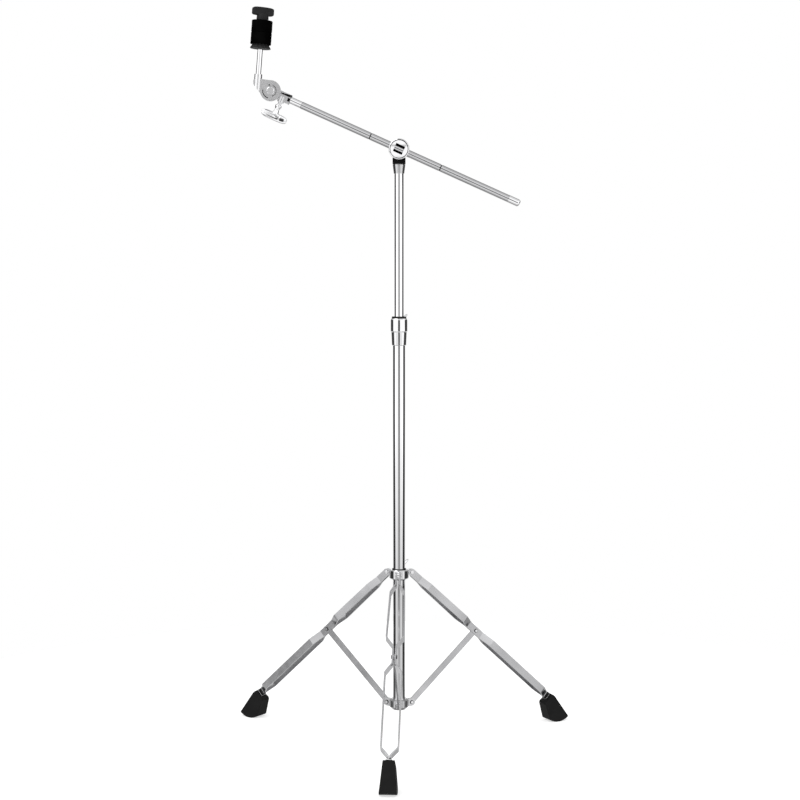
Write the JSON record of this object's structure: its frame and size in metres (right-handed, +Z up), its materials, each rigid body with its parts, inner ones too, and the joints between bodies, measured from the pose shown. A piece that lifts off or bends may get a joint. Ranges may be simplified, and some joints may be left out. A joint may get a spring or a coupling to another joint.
{
  "type": "cymbal boom stand",
  "caption": "Double-braced folding tripod with a telescoping mast, a sliding and tilting boom arm, and a tilter that holds a cymbal between two felts.",
  "frame": {"origin": "on the floor, on the mast tube's centreline, with the legs open", "axes": "+Z up along the mast; +X away from the cymbal, in the boom's plane; -Y towards the front leg"},
  "size_m": [0.7349, 0.6557, 1.54],
  "materials": {
    "chrome_tube": "polished",
    "satin_tube": "satin",
    "polished_steel": "polished",
    "bracket_steel": "polished",
    "rivets": "polished",
    "chrome_casting": "polished",
    "satin_casting": "satin",
    "plated_strip": "satin",
    "black_nylon": "matte",
    "black_plastic": "textured",
    "black_felt": "matte",
    "black_rubber": "matte"
  },
  "bodies": {
    "base": {"base_tube": "chrome_tube", "lower_bracket": "bracket_steel", "brace_rivets": "rivets", "height_clamp": "chrome_casting", "height_bushing": "black_nylon"},
    "height_bolt": {"height_wing_bolt": "chrome_casting"},
    "leg_collar": {"leg_collar": "chrome_casting", "leg_collar_bushing": "black_nylon", "collar_rivets": "rivets"},
    "collar_bolt": {"leg_collar_wing_bolt": "chrome_casting"},
    "upper_mast": {"upper_tube": "chrome_tube", "upper_tube_guide": "black_nylon"},
    "tilter": {"tilter_base": "chrome_casting", "tilter_washer": "black_nylon"},
    "boom_clamp": {"boom_drum": "chrome_casting", "tilter_bolt": "rivets"},
    "tilter_nut": {"tilter_wing_nut": "chrome_casting"},
    "boom": {"boom_tube": "satin_tube", "boom_end_cap": "polished_steel", "boom_ferrule": "polished_steel", "tilt_housing": "chrome_casting"},
    "unilock_bolt": {"unilock_wing_bolt": "chrome_casting"},
    "cymbal_arm": {"tilt_arm": "satin_casting", "tilt_pivot_bolt": "rivets", "tilt_pivot_nut": "rivets", "cymbal_rod": "polished_steel", "cymbal_seat": "black_plastic", "cymbal_sleeve": "black_nylon", "lower_felt": "black_felt"},
    "top_felt": {"upper_felt": "black_felt"},
    "cymbal_nut": {"cymbal_wing_nut": "black_plastic"},
    "front_brace": {"front_brace": "plated_strip"},
    "front_leg": {"front_leg_strip_a": "plated_strip", "front_leg_strip_b": "plated_strip", "front_knee_rivet": "rivets", "front_foot_pin": "rivets", "front_foot": "black_rubber", "front_foot_lip": "rivets"},
    "right_brace": {"right_brace": "plated_strip"},
    "right_leg": {"right_leg_strip_a": "plated_strip", "right_leg_strip_b": "plated_strip", "right_knee_rivet": "rivets", "right_foot_pin": "rivets", "right_foot": "black_rubber", "right_foot_lip": "rivets"},
    "left_brace": {"left_brace": "plated_strip"},
    "left_leg": {"left_leg_strip_a": "plated_strip", "left_leg_strip_b": "plated_strip", "left_knee_rivet": "rivets", "left_foot_pin": "rivets", "left_foot": "black_rubber", "left_foot_lip": "rivets"}
  },
  "joints": [
    {"name": "front_brace_fold", "type": "hinge", "parent": "base", "child": "front_brace", "pos_m": [-0.00149, -0.02846, 0.081], "axis": [-0.9986, 0.0523, 0], "range_deg": [0, 44]},
    {"name": "front_leg_fold", "type": "hinge", "parent": "front_brace", "child": "front_leg", "pos_m": [-0.00968, -0.18465, 0.221], "axis": [-0.9986, 0.0523, 0], "range_deg": [-88, 0]},
    {"name": "collar_slide", "type": "hinge", "parent": "front_leg", "child": "leg_collar", "pos_m": [-0.00149, -0.02846, 0.361], "axis": [-0.9986, 0.0523, 0], "range_deg": [0, 44]},
    {"name": "right_brace_fold", "type": "hinge", "parent": "base", "child": "right_brace", "pos_m": [0.02539, 0.01294, 0.081], "axis": [0.454, -0.891, 0], "range_deg": [0, 44]},
    {"name": "right_leg_fold", "type": "hinge", "parent": "right_brace", "child": "right_leg", "pos_m": [0.16475, 0.08394, 0.221], "axis": [0.454, -0.891, 0], "range_deg": [-88, 0]},
    {"name": "left_brace_fold", "type": "hinge", "parent": "base", "child": "left_brace", "pos_m": [-0.0239, 0.01552, 0.081], "axis": [0.5446, 0.8387, 0], "range_deg": [0, 44]},
    {"name": "left_leg_fold", "type": "hinge", "parent": "left_brace", "child": "left_leg", "pos_m": [-0.15507, 0.1007, 0.221], "axis": [0.5446, 0.8387, 0], "range_deg": [-88, 0]},
    {"name": "collar_bolt_turn", "type": "hinge", "parent": "leg_collar", "child": "collar_bolt", "pos_m": [0, 0, 0.365], "axis": [0.0523, 0.9986, 0], "range_deg": [-720, 0]},
    {"name": "height_bolt_turn", "type": "hinge", "parent": "base", "child": "height_bolt", "pos_m": [0, 0, 0.889], "axis": [0, 1, 0], "range_deg": [-720, 0]},
    {"name": "height_slide", "type": "slide", "parent": "base", "child": "upper_mast", "axis": [0, 0, 1], "range_m": [-0.296, 0.18]},
    {"name": "mast_swivel", "type": "hinge", "parent": "upper_mast", "child": "tilter", "pos_m": [0, 0, 1.2], "axis": [0, 0, 1], "continuous": true},
    {"name": "boom_tilt", "type": "hinge", "parent": "tilter", "child": "boom_clamp", "pos_m": [0, -0.025, 1.25], "axis": [0, 1, 0], "range_deg": [-50, 55]},
    {"name": "tilter_nut_turn", "type": "hinge", "parent": "boom_clamp", "child": "tilter_nut", "pos_m": [0, 0, 1.25], "axis": [0, 1, 0], "range_deg": [-720, 0]},
    {"name": "boom_slide", "type": "slide", "parent": "boom_clamp", "child": "boom", "axis": [-0.9125, 0, 0.4091], "range_m": [-0.19, 0.2]},
    {"name": "unilock_bolt_turn", "type": "hinge", "parent": "boom", "child": "unilock_bolt", "pos_m": [-0.23998, -0.025, 1.3576], "axis": [-0.4091, 0, -0.9125], "range_deg": [-720, 0]},
    {"name": "cymbal_tilt", "type": "hinge", "parent": "boom", "child": "cymbal_arm", "pos_m": [-0.26462, -0.0315, 1.36865], "axis": [0, 1, 0], "range_deg": [-60, 75]},
    {"name": "felt_lift", "type": "slide", "parent": "cymbal_arm", "child": "top_felt", "axis": [0.0802, 0, 0.9968], "range_m": [0, 0.012]},
    {"name": "cymbal_nut_turn", "type": "hinge", "parent": "top_felt", "child": "cymbal_nut", "pos_m": [-0.27953, -0.0315, 1.52514], "axis": [0.0802, 0, 0.9968], "continuous": true}
  ],
  "couplings": [
    {"joint": "front_leg_fold", "follows": "front_brace_fold", "ratio": -2},
    {"joint": "collar_slide", "follows": "front_brace_fold", "ratio": 1},
    {"joint": "right_leg_fold", "follows": "front_brace_fold", "ratio": -2},
    {"joint": "right_brace_fold", "follows": "front_brace_fold", "ratio": 1},
    {"joint": "left_leg_fold", "follows": "front_brace_fold", "ratio": -2},
    {"joint": "left_brace_fold", "follows": "front_brace_fold", "ratio": 1}
  ]
}
